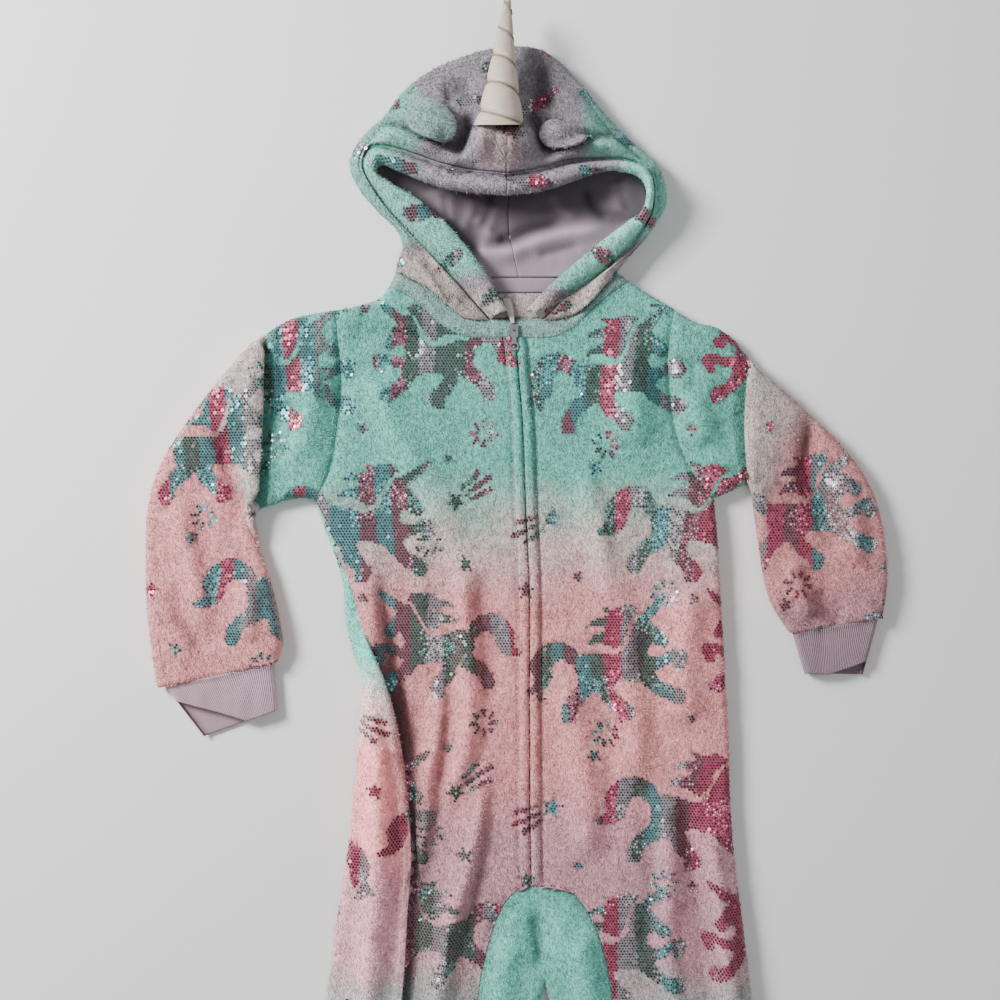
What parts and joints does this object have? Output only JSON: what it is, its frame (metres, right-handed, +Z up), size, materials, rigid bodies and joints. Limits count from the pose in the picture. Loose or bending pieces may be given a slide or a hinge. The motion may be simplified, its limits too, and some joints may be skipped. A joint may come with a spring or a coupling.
{
  "type": "hooded onesie",
  "caption": "Child's zip-front hooded fleece onesie with a stuffed horn and ears on the hood, rib cuffs and foil-dot print, laid flat on its back.",
  "frame": {"origin": "centre of the garment's bounding box, on the surface that it lies on", "axes": "+X across the garment, +Y towards the hood, +Z up from the surface"},
  "size_m": [0.632, 1.2043, 0.0726],
  "materials": {
    "fleece": "plush coral fleece, shaded from mint through pink to lavender, with foil print",
    "fleece_mint": "plush coral fleece, mint, with foil print",
    "fleece_hood": "plush coral fleece, lavender grey with mint sides, with foil print",
    "fleece_rim": "plush coral fleece, pinkish beige, with foil print",
    "rib": "fine lavender rib knit",
    "jersey": "smooth lavender jersey and tape",
    "horn_satin": "champagne satin with metallic cord",
    "tape_end": "cream woven tape",
    "silver_metal": "bright silver metal"
  },
  "bodies": {
    "garment": {"front_left": "fleece", "front_right": "fleece", "back_left": "fleece", "back_right": "fleece", "crotch_gusset": "fleece_mint", "sleeve_left": "fleece_mint", "sleeve_right": "fleece_mint", "cuff_left": "rib", "cuff_right": "rib", "leg_cuff_left": "rib", "leg_cuff_right": "rib", "neckband_left": "fleece_mint", "neckband_right": "fleece_mint", "hood_left": "fleece_hood", "hood_right": "fleece_hood", "hood_rim_left": "fleece_rim", "hood_rim_right": "fleece_rim", "hood_lining_left": "jersey", "hood_lining_right": "jersey", "neck_tape": "jersey", "neck_facing": "fleece_rim", "ear_left": "fleece_hood", "ear_right": "fleece_hood", "horn": "horn_satin", "zip_tape": "jersey", "zip_tape_end": "tape_end", "zip_slider": "silver_metal"},
    "zip_pull": {"zip_pull": "silver_metal"}
  },
  "joints": [
    {"name": "pull_lift", "type": "hinge", "parent": "garment", "child": "zip_pull", "pos_m": [-0.002, 0.32715, 0.01485], "axis": [-1, 0, 0], "range_deg": [0, 120]}
  ]
}
